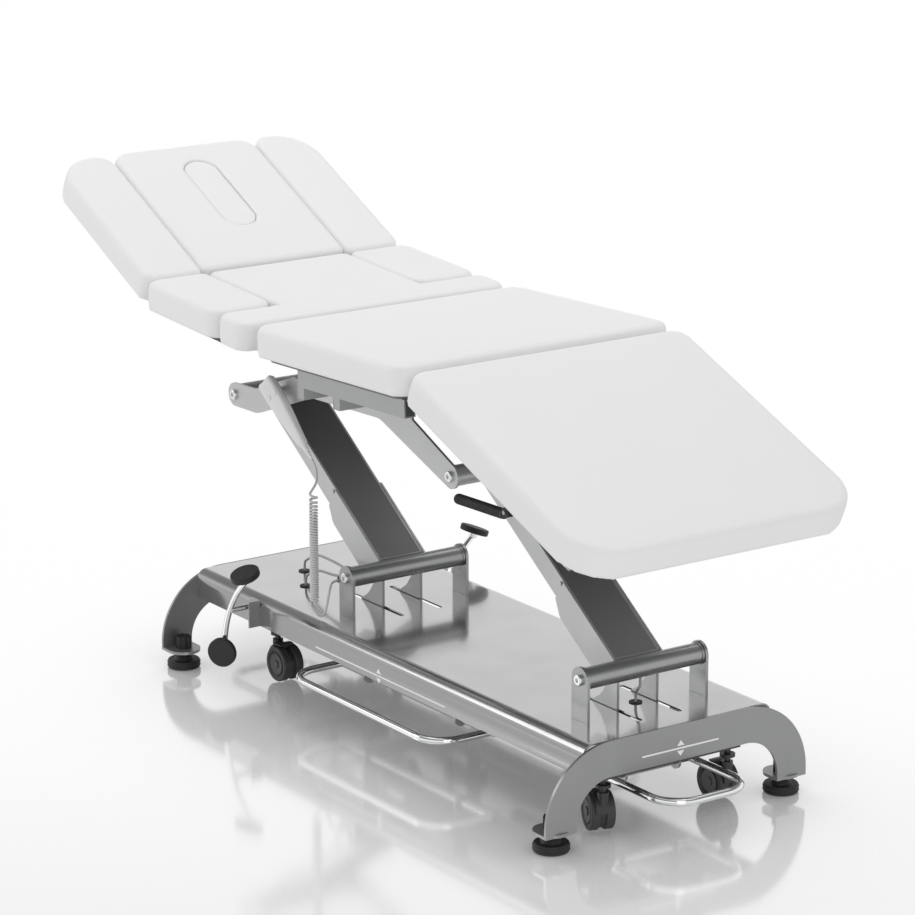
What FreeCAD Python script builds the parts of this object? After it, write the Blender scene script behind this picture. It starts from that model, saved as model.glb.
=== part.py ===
import FreeCAD, Part
import math
import os

from FreeCAD import Placement, Rotation, Vector

# Height-adjustable treatment table. Millimetres, +Z up, +X towards the foot end.
# The origin is on the floor under the middle of the whole table.
# Shapes are drawn about the middle of the base, which stands at base_x.
base_x = 143.6

# Base: an inverted channel between two arched end plates
base_length = 1380.0
base_top = 200.0
skirt_half = 225.0
skirt_bottom = 140.0
skirt_radius = 24.0
sheet = 3.0
arch_sheet = 6.0
arch_half = 311.0
arch_radius = 150.0
leg_width = 71.0
leg_bottom = 36.0
foot_inset = 31.0
foot_y = 275.5
foot_radius = 34.0
foot_pad_height = 18.0
stem_radius = 5.0
knob_radius = 16.0
knob_height = 26.0

# Lift pivots and arms
pivot_head_x = -227.0
pivot_foot_x = 567.4
pivot_z = 281.5
arm_dx = -425.7
arm_dz = 298.1
tube_radius = 21.0
tube_wall = 3.0
tube_half = 138.0
pin_radius = 8.0
running_fit = 0.05
clear = 0.3
bracket_sheet = 6.0
bracket_width = 50.0
bracket_rail_half = 60.0
bracket_tab_bottom = 176.0
arm_half = 54.0
arm_sheet = 4.0
arm_top = 9.5
arm_depth = 43.0
stiffener_depth = 63.0
stiffener_length = 214.0
lever_sheet = 6.0
lever_y = arm_half - arm_sheet - lever_sheet / 2
lever_reach = 118.0
lever_angle = 22.0
slot_width = 12.0
slot_before = 122.0
slot_after = 64.0

# Drive under the base
drive_bar_width = 20.0
drive_bar_y = -16.0
eye_up = 18.6
eye_down = 15.6
eye_play = 4.0
eye_wall = 4.8
lever_pin_radius = 6.0
actuator_y = 40.0

# Upper frame
plate_y = 136.0
plate_sheet = 6.0
plate_end_radius = 25.0
plate_bend = 60.0
rail_y = 287.5
rail_width = 25.0
rail_height = 36.0
rail_start = 131.0
rail_end = 505.0
cross_tube_height = 24.0
cross_tube_places = (140.0, 268.0)

# Upholstery
table_width = 656.0
pad_thickness = 60.0
board = 10.0
board_inset = 22.0
seat_edge = (-291.0, 821.6)
seat_pitch = -2.2
seat_length = 527.0
seat_end_x = seat_edge[0] + seat_length * math.cos(math.radians(seat_pitch))
seat_end_z = seat_edge[1] - seat_length * math.sin(math.radians(seat_pitch))
leg_gap = 27.9884
leg_drop = 2.8304
leg_edge = (seat_end_x + leg_gap, seat_end_z - leg_drop)
leg_pitch = 21.8
leg_length = 614.0
leg_corner = 100.0
back_edge = (-702.9, 839.8)
back_pitch = 3.1
back_length = 385.0
centre_half = 174.0
arm_notch = 286.0
armrest_gap = 5.0
armrest_length = 276.0
head_edge = (-1095.6, 1031.0)
head_pitch = 26.0
head_length = 430.0
head_half = 319.0
head_centre_half = 179.0
head_pad_width = head_half - head_centre_half
head_corner = head_pad_width * 23 / 35
pad_seam = 1.2
slot_start = 62.0
slot_length = 240.0
slot_half = 42.0
edge_round = 11.0

# Section hinges
leg_hinge = (leg_edge[0] - 13.6, leg_edge[1] - 70.0)
back_hinge = (-304.9, 790.0)
head_hinge = (-716.0, 768.0)
hinge_pin_radius = 4.0
hinge_eye_radius = 8.0
hinge_sheet = 6.0
hinge_y = 100.0
leaf_stem = 14.0
fold_pin_radius = 4.0
fold_knuckle_radius = 7.0
fold_lug = 12.0
fold_drop = 10.0

# Castors and their lift
castor_foot_x = 649.0
castor_head_x = -483.0
castor_y = 149.0
castor_trail = 27.0
wheel_radius = 37.5
wheel_width = 19.0
wheel_gap = 10.0
wheel_z = 40.0
axle_radius = 4.0
castor_bar_bottom = 112.0
castor_bar_top = 130.0
castor_bar_half = 12.0
guide_y = 78.0
guide_radius = 7.0
castor_tie_y = 100.0
castor_turn = {"foot_near": 160.0, "foot_far": 180.0, "head_near": 0.0, "head_far": 20.0}

# Castor pedals
pedal_x = -447.0
pedal_z = 182.0
pedal_y = 286.0
pedal_shaft = 6.0
pedal_rod = 6.0
pedal_pad_radius = 31.0
pedal_pad_height = 13.0
pedal_boss = 10.0
cam_y = 118.0
cam_tip = (-31.0, -43.0)
pedal_top = (-385.0, 268.0)
pedal_low = (-479.0, 84.0)

# Foot bars
bar_radius = 8.0
bar_z = 88.0
side_bar_half = 262.0
side_bar_reach = 264.0
side_bar_root = 130.0
end_bar_half = 98.0
end_bar_reach = 790.0
end_bar_root = 596.0
bar_bend = 62.0
bar_hanger = 5.0

# Hand control and its cord
control_top = (-482.0, -172.0, 650.0)
control_tip = (-352.0, -162.0, 536.0)
control_width = 44.0
control_depth = 24.0
coil_radius = 10.0
cord_radius = 2.5
coil_x = -246.0
coil_y = -209.0
coil_top = 464.0
coil_bottom = 228.0
clip_x = -260.0
clip_y = 134.0
clip_z = 268.0
clip_width = 12.0
wire_radius = 2.6
grommet_radius = 10.0

# Leg release lever
grip_start = (leg_edge[0] + 126.4, leg_edge[1] - 220.0)
grip_end = (leg_edge[0] + 281.4, leg_edge[1] - 215.0)
grip_y = table_width / 2 - 28.0
grip_radius = 9.5

X = Vector(1, 0, 0)
Y = Vector(0, 1, 0)
Z = Vector(0, 0, 1)
pivots = {"head": pivot_head_x, "foot": pivot_foot_x}
os.makedirs("parts", exist_ok=True)


def save(node, *solids):
    """Writes one sub-part, moved from the base's middle to the table's origin."""
    shape = solids[0] if len(solids) == 1 else Part.makeCompound(list(solids))
    shape = shape.copy()
    shape.translate(Vector(base_x, 0, 0))
    shape.exportStep("parts/%s.step" % node)


def block(x0, x1, y0, y1, z0, z1):
    return Part.makeBox(x1 - x0, y1 - y0, z1 - z0, Vector(x0, y0, z0))


def rod(start, end, radius):
    a = Vector(*start)
    b = Vector(*end)
    return Part.makeCylinder(radius, (b - a).Length, a, b - a)


def ring(start, end, outer, inner):
    return rod(start, end, outer).cut(rod(start, end, inner))


def mirror_y(shape):
    return shape.mirror(Vector(0, 0, 0), Y)


def both_sides(shape):
    return [shape, mirror_y(shape)]


def profile(points, y0, y1):
    """A plate in the XZ plane, from y0 to y1, from corner points (x, z)."""
    corners = [Vector(x, y0, z) for x, z in points]
    face = Part.Face(Part.makePolygon(corners + corners[:1]))
    return face.extrude(Vector(0, y1 - y0, 0))


def stadium(a, b, radius, y0, y1):
    """A round-ended bar between two points (x, z), from y0 to y1."""
    ends = [rod((p[0], y0, p[1]), (p[0], y1, p[1]), radius) for p in (a, b)]
    dx, dz = b[0] - a[0], b[1] - a[1]
    length = math.hypot(dx, dz)
    nx, nz = -dz / length * radius, dx / length * radius
    middle = profile([(a[0] + nx, a[1] + nz), (b[0] + nx, b[1] + nz),
                      (b[0] - nx, b[1] - nz), (a[0] - nx, a[1] - nz)], y0, y1)
    return middle.fuse(ends).removeSplitter()


def rounded_plan(x0, x1, y0, y1, z0, z1, corners):
    """A flat slab with a corner radius for (x0,y0), (x1,y0), (x1,y1), (x0,y1)."""
    slab = block(x0, x1, y0, y1, z0, z1)
    for (x, y), radius in zip([(x0, y0), (x1, y0), (x1, y1), (x0, y1)], corners):
        if radius > 0:
            edge = [e for e in slab.Edges if upright_at(e, x, y)]
            slab = slab.makeFillet(radius, edge)
    return slab


def upright_at(edge, x, y):
    ends = [v.Point for v in edge.Vertexes]
    return len(ends) == 2 and all(abs(p.x - x) < 0.01 and abs(p.y - y) < 0.01 for p in ends)


def soften(slab, radius, z):
    """Rounds the edges of a cushion that lie at height z."""
    edges = [e for e in slab.Edges if all(abs(v.Z - z) < 0.01 for v in e.Vertexes)]
    return slab.makeFillet(radius, edges)


def placed(shape, edge, pitch):
    """Puts a section drawn flat from its head-end top edge at its place and tilt."""
    shape = shape.copy()
    shape.Placement = Placement(Vector(edge[0], 0, edge[1]), Rotation(Y, pitch)).multiply(shape.Placement)
    return shape


def in_section(edge, pitch, s, z):
    """The base-centred x and z of a point s along a section and z above its top."""
    a = math.radians(pitch)
    return (edge[0] + s * math.cos(a) + z * math.sin(a),
            edge[1] - s * math.sin(a) + z * math.cos(a))


def u_bar(points, radius, bend):
    """A round bar along points, with tangent arcs at the bends."""
    edges = []
    at = Vector(*points[0])
    for a, b, c in zip(points, points[1:], points[2:]):
        corner = Vector(*b)
        back = (Vector(*a) - corner).normalize()
        on = (Vector(*c) - corner).normalize()
        half = back.getAngle(on) / 2
        reach = bend / math.tan(half)
        start, end = corner + back * reach, corner + on * reach
        middle = (back + on).normalize()
        centre = corner + middle * (bend / math.sin(half))
        edges.append(Part.LineSegment(at, start).toShape())
        edges.append(Part.Arc(start, centre - middle * bend, end).toShape())
        at = end
    edges.append(Part.LineSegment(at, Vector(*points[-1])).toShape())
    first = edges[0]
    circle = Part.Wire(Part.Circle(Vector(*points[0]), first.tangentAt(first.FirstParameter), radius).toShape())
    return Part.Wire(edges).makePipeShell([circle], True, False)


def cord_tube(points, radius, share=0.45):
    """A cord's plain solid: straight runs joined by arcs as large as the runs allow."""
    edges = []
    at = Vector(*points[0])
    tightest = 1e9
    for a, b, c in zip(points, points[1:], points[2:]):
        corner = Vector(*b)
        back, on = Vector(*a) - corner, Vector(*c) - corner
        reach = share * min(back.Length, on.Length)
        back, on = back.normalize(), on.normalize()
        half = back.getAngle(on) / 2
        bend = reach * math.tan(half)
        tightest = min(tightest, bend)
        start, end = corner + back * reach, corner + on * reach
        middle = (back + on).normalize()
        centre = corner + middle * (bend / math.sin(half))
        edges.append(Part.LineSegment(at, start).toShape())
        edges.append(Part.Arc(start, centre - middle * bend, end).toShape())
        at = end
    edges.append(Part.LineSegment(at, Vector(*points[-1])).toShape())
    path = Part.Wire(edges)
    circle = Part.Wire(Part.Circle(Vector(*points[0]), edges[0].tangentAt(edges[0].FirstParameter), radius).toShape())
    tube = path.makePipeShell([circle], True, False)
    print("cord %.0f mm long, tightest bend %.1f, volume ratio %.3f"
          % (path.Length, tightest, tube.Volume / (math.pi * radius ** 2 * path.Length)))
    return tube


# Base

def slot_ends(pivot_x):
    return pivot_x - slot_before + slot_width / 2, pivot_x + slot_after - slot_width / 2


def slot_cutter(x0, x1, y, width):
    ends = [rod((x, y, skirt_bottom), (x, y, base_top + 1), width / 2) for x in (x0, x1)]
    return block(x0, x1, y - width / 2, y + width / 2, skirt_bottom, base_top + 1).fuse(ends)


def channel():
    half = base_length / 2 - arch_sheet
    outer = block(-half, half, -skirt_half, skirt_half, skirt_bottom, base_top)
    top_edges = [e for e in outer.Edges
                 if e.Length > base_length / 2 and all(abs(v.Z - base_top) < 0.01 for v in e.Vertexes)]
    outer = outer.makeFillet(skirt_radius, top_edges)
    inner = block(-half - 1, half + 1, -skirt_half + sheet, skirt_half - sheet, skirt_bottom - 1, base_top - sheet)
    inner_edges = [e for e in inner.Edges
                   if e.Length > base_length / 2 and all(abs(v.Z - base_top + sheet) < 0.01 for v in e.Vertexes)]
    shell = outer.cut(inner.makeFillet(skirt_radius - sheet, inner_edges))
    cuts = []
    for pivot_x in pivots.values():
        x0, x1 = slot_ends(pivot_x)
        cuts += [slot_cutter(x0, x1, side * lever_y, slot_width) for side in (-1, 1)]
        tab = bracket_width / 2 + clear
        middle = tube_half + clear + bracket_sheet / 2
        cuts += [block(pivot_x - tab, pivot_x + tab, side * middle - bracket_sheet / 2 - clear,
                       side * middle + bracket_sheet / 2 + clear, base_top - 2 * sheet, base_top + 1)
                 for side in (-1, 1)]
    cuts += [rod((x, y, base_top - 2 * sheet), (x, y, base_top + 1), grommet_radius) for x, y in grommet_places()]
    cuts.append(rod((pedal_x, -skirt_half - 1, pedal_z), (pedal_x, skirt_half + 1, pedal_z),
                    pedal_shaft + running_fit))
    return shell.cut(cuts)


def grommet_places():
    """Cable holes in the top, as x and y."""
    return [(pivot_foot_x - 27, 10.0), (pivot_head_x - 224, -98.0), (pivot_head_x - 316, -42.0)]


def grommet(x, y):
    """A rubber bush that grips the wire in the middle of its hole."""
    flange = ring((x, y, base_top), (x, y, base_top + 2), grommet_radius + 3, wire_radius)
    neck = ring((x, y, base_top - sheet), (x, y, base_top), grommet_radius, wire_radius)
    return flange.fuse(neck)


def arch(side):
    """One end plate: a beam on two curved legs, with a foot lug bent in under each."""
    x_out = side * base_length / 2
    x_in = x_out - side * arch_sheet
    x0, x1 = min(x_out, x_in), max(x_out, x_in)
    cy = arch_half - arch_radius
    cz = base_top - arch_radius
    inner = arch_radius - leg_width
    outer = block(x0, x1, -cy, cy, cz, base_top)
    outer = outer.fuse([rod((x0, s * cy, cz), (x1, s * cy, cz), arch_radius) for s in (-1, 1)])
    outer = outer.common(block(x0, x1, -arch_half, arch_half, cz, base_top))
    outer = outer.fuse(block(x0, x1, -arch_half, arch_half, leg_bottom, cz))
    hollow = block(x0 - 1, x1 + 1, -cy, cy, leg_bottom - 1, cz + inner)
    hollow = hollow.fuse([rod((x0 - 1, s * cy, cz), (x1 + 1, s * cy, cz), inner) for s in (-1, 1)])
    hollow = hollow.fuse(block(x0 - 1, x1 + 1, -cy - inner, cy + inner, leg_bottom - 1, cz))
    plate = outer.cut(hollow)
    lug_x = x_out - side * foot_inset
    lug_half = leg_width / 2
    lx0, lx1 = min(lug_x, x_out), max(lug_x, x_out)
    lugs = []
    for s in (-1, 1):
        lug = block(lx0, lx1, s * foot_y - lug_half, s * foot_y + lug_half, leg_bottom, leg_bottom + arch_sheet)
        lug = lug.fuse(rod((lug_x, s * foot_y, leg_bottom), (lug_x, s * foot_y, leg_bottom + arch_sheet), lug_half))
        lugs.append(lug.cut(rod((lug_x, s * foot_y, 0), (lug_x, s * foot_y, base_top), stem_radius + running_fit)))
    bore_cut = [rod((lug_x, s * foot_y, 0), (lug_x, s * foot_y, leg_bottom + knob_height + 20), stem_radius + running_fit)
                for s in (-1, 1)]
    return plate.fuse(lugs).cut(bore_cut).removeSplitter()


def levelling_foot(x, y):
    """A grooved rubber pad, its threaded stem and the knob that turns it."""
    pad = rod((x, y, 0), (x, y, foot_pad_height), foot_radius)
    pad = pad.makeFillet(2.5, [e for e in pad.Edges if isinstance(e.Curve, Part.Circle)])
    neck_top = leg_bottom - clear
    neck = Part.makeCone(foot_radius * 0.62, foot_radius * 0.36, neck_top - foot_pad_height - 4,
                         Vector(x, y, foot_pad_height))
    collar = rod((x, y, neck_top - 4), (x, y, neck_top), foot_radius * 0.46)
    pad = pad.fuse([neck, collar])
    knob_bottom = leg_bottom + arch_sheet + clear
    knob = rod((x, y, knob_bottom), (x, y, knob_bottom + knob_height), knob_radius)
    for k in range(8):
        a = math.radians(45 * k)
        cx, cy = x + (knob_radius + 3) * math.cos(a), y + (knob_radius + 3) * math.sin(a)
        knob = knob.cut(rod((cx, cy, knob_bottom - 1), (cx, cy, knob_bottom + knob_height + 1), 5.5))
    stem = rod((x, y, neck_top), (x, y, knob_bottom), stem_radius)
    return pad.fuse([stem, knob])


def pivot_brackets(pivot_x):
    """Two round-topped ears that stand through the base's top."""
    y0 = tube_half + clear
    y1 = y0 + bracket_sheet
    half = bracket_width / 2
    ear = block(pivot_x - half, pivot_x + half, y0, y1, bracket_tab_bottom, pivot_z)
    ear = ear.fuse(rod((pivot_x, y0, pivot_z), (pivot_x, y1, pivot_z), half))
    ear = ear.cut(rod((pivot_x, y0 - 1, pivot_z), (pivot_x, y1 + 1, pivot_z), pin_radius + running_fit))
    foot = block(pivot_x - half, pivot_x + half, y0, y1 + 24, bracket_tab_bottom, bracket_tab_bottom + bracket_sheet)
    return both_sides(ear.fuse(foot).removeSplitter())


def bracket_rails():
    """Top-hat rails under the top that the ears are welded to."""
    y0 = tube_half + clear
    rails = []
    for pivot_x in pivots.values():
        x0, x1 = pivot_x - bracket_rail_half, pivot_x + bracket_rail_half
        rail = block(x0, x1, y0, y0 + 26, bracket_tab_bottom - 4, bracket_tab_bottom)
        side = block(x0, x1, y0 + 26, y0 + 30, bracket_tab_bottom - 4, base_top - sheet)
        rails += both_sides(rail.fuse(side))
    return rails


def pivot_pin(x, z, half_span):
    """A shaft with a domed socket head at each end."""
    shaft = rod((x, -half_span, z), (x, half_span, z), pin_radius)
    heads = []
    for side in (-1, 1):
        head = rod((x, side * half_span, z), (x, side * (half_span + 7), z), 11.5)
        rim = [e for e in head.Edges if isinstance(e.Curve, Part.Circle)
               and abs(e.CenterOfMass.y - side * (half_span + 7)) < 0.1]
        head = head.makeFillet(3, rim)
        socket = Part.makeCylinder(4.2, 4, Vector(x, side * (half_span + 3.5), z), Y * side)
        heads.append(head.cut(socket))
    return shaft.fuse(heads)


# Arms

def arm_point(pivot_x, along, above):
    """A point (x, z) so far along an arm from its lower pivot and above its line."""
    length = math.hypot(arm_dx, arm_dz)
    ux, uz = arm_dx / length, arm_dz / length
    return pivot_x + along * ux + above * uz, pivot_z + along * uz - above * ux


def arm_outline(pivot_x, start, end, low, high):
    return [arm_point(pivot_x, a, h) for a, h in ((start, low), (end, low), (end, high), (start, high))]


def arm_parts(pivot_x):
    """Tube, boxed arm with a stiffened root, and the top tube."""
    length = math.hypot(arm_dx, arm_dz)
    tube = ring((pivot_x, -tube_half, pivot_z), (pivot_x, tube_half, pivot_z), tube_radius, tube_radius - tube_wall)
    bore = pin_radius + running_fit
    collars = []
    for side in (-1, 1):
        inner_y, outer_y = side * (tube_half - 12), side * tube_half
        collars.append(ring((pivot_x, inner_y, pivot_z), (pivot_x, outer_y, pivot_z), tube_radius - tube_wall, bore))
        rim_y = side * (tube_half - 5)
        collars.append(ring((pivot_x, rim_y, pivot_z), (pivot_x, outer_y, pivot_z), tube_radius + 1.5, tube_radius))
    tube = tube.fuse(collars).removeSplitter()
    low = arm_top - arm_depth
    y0, y1 = arm_half - arm_sheet, arm_half
    side_plate = profile(arm_outline(pivot_x, 0, length, low, arm_top), y0, y1)
    web_up = profile(arm_outline(pivot_x, 0, length, arm_top - arm_sheet, arm_top), -y0, y0)
    web_low = profile(arm_outline(pivot_x, 60, length, low, low + arm_sheet), -y0, y0)
    step = stiffener_length
    stiff_low = arm_top - stiffener_depth
    stiff = profile([arm_point(pivot_x, 0, arm_top + 2), arm_point(pivot_x, step, arm_top + 2),
                     arm_point(pivot_x, step, low), arm_point(pivot_x, step - 32, stiff_low),
                     arm_point(pivot_x, 40, stiff_low), arm_point(pivot_x, 10, low)], arm_half, arm_half + arm_sheet)
    corner = [e for e in stiff.Edges if edge_through(e, arm_point(pivot_x, step - 32, stiff_low))]
    stiff = stiff.makeFillet(26, corner)
    screw_x, screw_z = arm_point(pivot_x, step + 7, arm_top - 9)
    screw = rod((screw_x, arm_half, screw_z), (screw_x, arm_half + 4, screw_z), 4.5)
    hole = rod((pivot_x, -tube_half, pivot_z), (pivot_x, tube_half, pivot_z), tube_radius)
    top_x, top_z = pivot_x + arm_dx, pivot_z + arm_dz
    top_hole = rod((top_x, -tube_half, top_z), (top_x, tube_half, top_z), tube_radius)
    sides = [p.cut([hole, top_hole]) for p in both_sides(side_plate)]
    stiffeners = [p.cut(hole) for p in both_sides(stiff.fuse(screw))]
    webs = [w.cut([hole, top_hole]) for w in (web_up, web_low)]
    top_half = plate_y - clear
    top_tube = ring((top_x, -top_half, top_z), (top_x, top_half, top_z), tube_radius, bore)
    return tube, top_tube, sides, stiffeners, webs


def edge_through(edge, place):
    """True for an edge across a plate that stands on the point (x, z)."""
    return all(math.hypot(v.X - place[0], v.Z - place[1]) < 0.01 for v in edge.Vertexes)


def lever_pin_place(pivot_x):
    a = math.radians(lever_angle)
    return pivot_x - lever_reach * math.sin(a), pivot_z - lever_reach * math.cos(a)


def levers(pivot_x):
    """A pair of lever plates under the tube, with a cross pin between their tips."""
    px, pz = lever_pin_place(pivot_x)
    y0, y1 = lever_y - lever_sheet / 2, lever_y + lever_sheet / 2
    outline = [(-30, -6), (-42, -40), (-58, -62), (-86, -80), (-86, -88), (-56, -119), (-36, -123),
               (-8, -98), (-8, -12)]
    plate = profile([(pivot_x + x, pivot_z + z) for x, z in outline], y0, y1)
    inner = [e for e in plate.Edges if edge_through(e, (pivot_x - 58, pivot_z - 62))]
    plate = plate.makeFillet(40, inner)
    plate = plate.cut(rod((pivot_x, y0 - 1, pivot_z), (pivot_x, y1 + 1, pivot_z), tube_radius))
    pin = rod((px, -lever_y + lever_sheet / 2, pz), (px, lever_y - lever_sheet / 2, pz), lever_pin_radius)
    return both_sides(plate), pin


# Drive under the top

def drive_bar():
    """The bar that ties both pairs of levers, with an oblong eye round each cross pin."""
    xh, zp = lever_pin_place(pivot_head_x)
    xf = lever_pin_place(pivot_foot_x)[0]
    y0, y1 = drive_bar_y - drive_bar_width / 2, drive_bar_y + drive_bar_width / 2
    bar = block(xh - 22, xf + 22, y0, y1, zp - eye_down - eye_wall, zp + eye_up + eye_wall)
    reach = lever_pin_radius + eye_play
    for x in (xh, xf):
        bar = bar.cut(block(x - reach, x + reach, y0 - 1, y1 + 1, zp - eye_down, zp + eye_up))
    return bar


def screw_end():
    xh, zp = lever_pin_place(pivot_head_x)
    return (xh + lever_pin_place(pivot_foot_x)[0]) / 2 + 286, zp


def actuator():
    """Motor and screw tube of the lift drive, hung from the underside of the top."""
    x1, z = screw_end()
    x0 = x1 - 296
    motor = rod((x0, actuator_y, z), (x0 + 110, actuator_y, z), 21)
    tube = ring((x0 + 110, actuator_y, z), (x0 + 260, actuator_y, z), 14, 9 + running_fit)
    hanger = block(x0 + 10, x0 + 90, actuator_y - 16, actuator_y + 16, z + 12, base_top - sheet)
    return motor.fuse([tube, hanger]).removeSplitter()


def drive_arm():
    """The screw rod and the arm that joins its end to the drive bar."""
    x, z = screw_end()
    rod_part = rod((x - 160, actuator_y, z), (x, actuator_y, z), 9)
    y = drive_bar_y + drive_bar_width / 2
    return rod_part.fuse(block(x, x + 12, y, actuator_y + 12, z - 11, z + 11))


# Upper frame

def frame_plates():
    """Two cut plates from the head-side pivot to the foot-side pivot."""
    cx, cz = pivot_head_x + arm_dx, pivot_z + arm_dz
    dx, dz = pivot_foot_x + arm_dx, pivot_z + arm_dz
    r = plate_end_radius
    low = -pad_thickness - board - rail_height - cross_tube_height
    first, second = cross_tube_places
    tx, tz = in_section(seat_edge, seat_pitch, first - 14, low)
    ux, uz = in_section(seat_edge, seat_pitch, second + 14, low)
    outline = [(cx, cz - r), (cx + 88, cz - r + 2), (cx + 300, cz + 54), (cx + 548, cz + 64), (dx - 9, dz - r + 1.7),
               (dx + 5, dz + r - 0.5), (ux + 14, uz - 38), (ux, uz), (tx, tz), (tx - 10, tz - 42),
               (cx + 230, cz + 84), (cx + 80, cz + r + 3), (cx, cz + r)]
    y0, y1 = plate_y, plate_y + plate_sheet
    plate = profile(outline, y0, y1)
    bends = [(cx + 88, cz - r + 2), (cx + 300, cz + 54), (cx + 548, cz + 64)]
    plate = plate.makeFillet(plate_bend, [e for e in plate.Edges if any(edge_through(e, b) for b in bends)])
    plate = plate.fuse([rod((x, y0, z), (x, y1, z), r) for x, z in ((cx, cz), (dx, dz))]).removeSplitter()
    holes = [rod((x, y0 - 1, z), (x, y1 + 1, z), pin_radius + running_fit) for x, z in ((cx, cz), (dx, dz))]
    return both_sides(plate.cut(holes))


def rails():
    """Rectangular tubes, open at the foot end, under the sides of the seat board."""
    y0, y1 = rail_y - rail_width / 2, rail_y + rail_width / 2
    top = -pad_thickness - board
    tube = block(rail_start, rail_end, y0, y1, top - rail_height, top)
    hollow = block(rail_start + 3, rail_end + 1, y0 + 3, y1 - 3, top - rail_height + 3, top - 3)
    return [placed(s, seat_edge, seat_pitch) for s in both_sides(tube.cut(hollow))]


def frame_cross_tubes():
    """Square tubes that sit on the plates and carry the rails."""
    low = -pad_thickness - board - rail_height
    span = rail_y + rail_width / 2
    tubes = []
    for s in cross_tube_places:
        tube = block(s - 12, s + 12, -span, span, low - cross_tube_height, low)
        hollow = block(s - 9, s + 9, -span - 1, span + 1, low - cross_tube_height + 3, low - 3)
        tubes.append(placed(tube.cut(hollow), seat_edge, seat_pitch))
    return tubes


def hinge_leaf(outline, place, y0, y1):
    """A plate with an eye on the turning line of a section hinge."""
    x, z = place
    leaf = profile(outline, y0, y1).fuse(rod((x, y0, z), (x, y1, z), hinge_eye_radius))
    leaf = leaf.cut(rod((x, y0 - 1, z), (x, y1 + 1, z), hinge_pin_radius + running_fit))
    return both_sides(leaf.removeSplitter())


def inner_leaf():
    """The y range of the seat's hinge leaves."""
    return hinge_y - hinge_sheet - clear, hinge_y - clear


def gap_leaf(edge, pitch, near, far, y0, y1):
    """A leaf from under a board, up between two cushions to the back's turning line."""
    x, z = back_hinge
    low = -pad_thickness - board
    half = leaf_stem / 2
    toward = 1 if edge is seat_edge else -1
    outline = [(x - toward * half, z), (x + toward * half, z), (x + toward * half, z - 38),
               in_section(edge, pitch, near, low), in_section(edge, pitch, far, low),
               in_section(edge, pitch, far, low - 20), (x - toward * half, z - 62)]
    return hinge_leaf(outline, back_hinge, y0, y1)


def seat_hinge_leaves():
    """Leaves under the seat board for the back hinge and the leg hinge."""
    low = -pad_thickness - board
    y0, y1 = inner_leaf()
    x, z = leg_hinge
    outline = [in_section(seat_edge, seat_pitch, seat_length - 120, low),
               in_section(seat_edge, seat_pitch, seat_length - board_inset, low),
               (x, z + hinge_eye_radius - 2), (x, z - hinge_eye_radius),
               in_section(seat_edge, seat_pitch, seat_length - 90, low - 24)]
    return hinge_leaf(outline, leg_hinge, y0, y1) + gap_leaf(seat_edge, seat_pitch, 24, 104, y0, y1)


def fold_hinge(places, hinge_from_middle, inner, outer, edge, pitch):
    """Side-pad hinges: pins in lugs under the centre board, knuckles and bars under the pad."""
    low = -pad_thickness - board
    y, z = hinge_from_middle, -pad_thickness - fold_drop
    fixed, moving = [], []
    for s0, s1 in places:
        pin = rod((s0, y, z), (s1, y, z), fold_pin_radius)
        lugs = [block(s, s + fold_lug, inner, y + 4, z - fold_knuckle_radius, low) for s in (s0, s1 - fold_lug)]
        fixed.append(pin.fuse(lugs))
        a, b = s0 + fold_lug + clear, s1 - fold_lug - clear
        knuckle = rod((a, y, z), (b, y, z), fold_knuckle_radius)
        bar = block(a, b, y, outer, -pad_thickness - 6, -pad_thickness)
        moving.append(knuckle.fuse(bar).cut(rod((a - 1, y, z), (b + 1, y, z), fold_pin_radius + running_fit)))
    return [placed(f, edge, pitch) for f in fixed], [placed(m, edge, pitch) for m in moving]


# Upholstery and boards

def cushion(length, half, corners, edge, pitch):
    slab = rounded_plan(0, length, -half, half, -pad_thickness, 0, corners)
    return placed(soften(slab, edge_round, 0), edge, pitch)


def board_under(s0, s1, half, edge, pitch, radius=30.0):
    slab = rounded_plan(s0, s1, -half, half, -pad_thickness - board, -pad_thickness, (radius,) * 4)
    return placed(slab, edge, pitch)


def back_cushion():
    """Full width at the hip, and narrow between the armrests."""
    half = table_width / 2
    narrow = rounded_plan(0, arm_notch + 40, -centre_half, centre_half, -pad_thickness, 0, (14, 0, 0, 14))
    wide = rounded_plan(arm_notch, back_length, -half, half, -pad_thickness, 0, (26, 34, 34, 26))
    return placed(soften(narrow.fuse(wide).removeSplitter(), edge_round, 0), back_edge, back_pitch)


def armrest_pad():
    half = table_width / 2
    slab = rounded_plan(0, armrest_length, centre_half + armrest_gap, half, -pad_thickness, 0, (16, 40, 34, 30))
    return placed(soften(slab, edge_round, 0), back_edge, back_pitch)


def armrest_hinges():
    """Fixed pins and moving bars of one armrest."""
    y = centre_half + armrest_gap / 2
    return fold_hinge([(40, 90), (190, 240)], y, centre_half - 70, table_width / 2 - 60, back_edge, back_pitch)


def armrest_bar():
    """The flat steel bar under the armrest's outer side."""
    outer = table_width / 2 - 28
    return placed(block(52, armrest_length - 6, outer - 32, outer, -pad_thickness - 12, -pad_thickness),
                  back_edge, back_pitch)


def head_cushion():
    pad = rounded_plan(0, head_length, -head_centre_half, head_centre_half, -pad_thickness, 0, (44, 14, 14, 44))
    pad = soften(pad, edge_round, 0)
    return placed(pad.cut(face_slot(slot_half, 0)), head_edge, head_pitch)


def face_slot(half, extra):
    """The breathing slot's shape, round at both ends, through the head cushion."""
    a, b = slot_start + slot_half, slot_start + slot_length - slot_half
    low = -pad_thickness - extra
    ends = [rod((s, 0, low), (s, 0, extra), half) for s in (a, b)]
    return block(a, b, -half, half, low, extra).fuse(ends).removeSplitter()


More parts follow.
